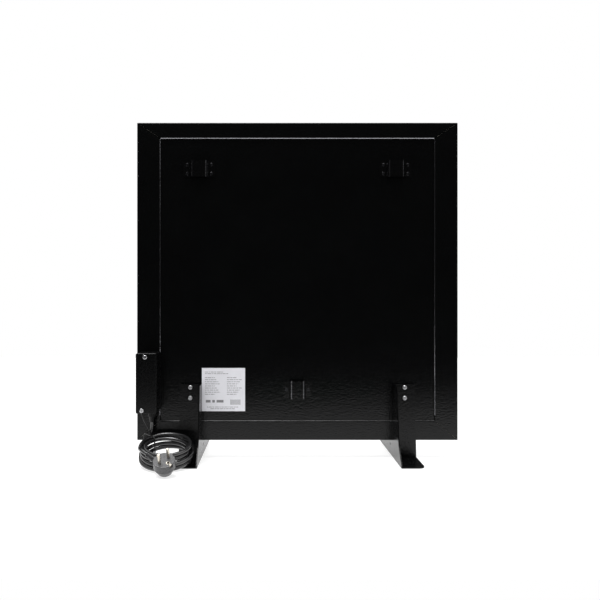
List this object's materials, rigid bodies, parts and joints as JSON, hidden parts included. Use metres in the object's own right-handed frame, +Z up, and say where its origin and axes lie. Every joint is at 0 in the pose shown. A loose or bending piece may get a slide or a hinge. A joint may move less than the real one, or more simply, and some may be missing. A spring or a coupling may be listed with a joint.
{
  "type": "panel heater",
  "caption": "Flat black panel heater seen from its back, standing on folded sheet metal feet, with a junction box, wall brackets and a coiled mains cord with a round plug.",
  "frame": {"origin": "on the floor, under the middle of the box round the heater and its feet, without the cord", "axes": "+X to the right when looking at the back, +Y away from the back and out of the warm front, +Z up"},
  "size_m": [0.6, 0.2899, 0.6273],
  "materials": {
    "casing": "fine black powder coat",
    "feet": "black powder coat",
    "brackets": "black powder coat",
    "black_rivets": "blackened",
    "zinc_screws": "bright zinc",
    "dark_screws": "dark zinc",
    "box_plastic": "smooth satin black",
    "block_plastic": "natural",
    "grommet_rubber": "matt",
    "label_paper": "satin grey sticker",
    "board": "pressed fibre board",
    "foil": "bright foil",
    "mat": "amber film",
    "track": "etched copper alloy",
    "cutout": "tinned",
    "live_wire": "brown insulation",
    "neutral_wire": "blue insulation",
    "earth_wire": "green and yellow insulation",
    "core_wire": "insulated cores",
    "cord_rubber": "smooth black sheath",
    "tie": "coated wire",
    "plug_plastic": "moulded black",
    "plug_metal": "nickel plated"
  },
  "bodies": {
    "root": {"casing_tray": "casing", "back_plate": "casing", "insulation_board": "board", "reflector_foil": "foil", "heating_mat": "mat", "heating_track": "track", "thermal_cutout": "cutout", "foot_left": "feet", "foot_right": "feet", "foot_screws": "zinc_screws", "rivet_nuts": "zinc_screws", "wall_bracket_top_left": "brackets", "wall_bracket_top_right": "brackets", "wall_bracket_bottom": "brackets", "bracket_rivets": "black_rivets", "rating_label": "label_paper", "junction_box_base": "box_plastic", "junction_box_cover": "box_plastic", "cover_screws": "dark_screws", "box_rivets": "black_rivets", "lead_grommet": "grommet_rubber", "terminal_block": "block_plastic", "terminal_screws": "zinc_screws", "lead_live": "live_wire", "lead_neutral": "neutral_wire", "lead_earth": "earth_wire", "earth_screw": "zinc_screws", "cable_gland": "box_plastic", "gland_locknut": "box_plastic", "bend_sleeve": "box_plastic", "cord_sheath_end": "cord_rubber", "mains_cores": "core_wire", "cord_coil": "cord_rubber", "cord_lead": "cord_rubber", "cord_tie": "tie", "plug_body": "plug_plastic", "plug_pins": "plug_metal", "plug_earth_clips": "plug_metal", "plug_earth_socket": "plug_metal", "plug_bend_relief": "cord_rubber"}
  },
  "joints": []
}
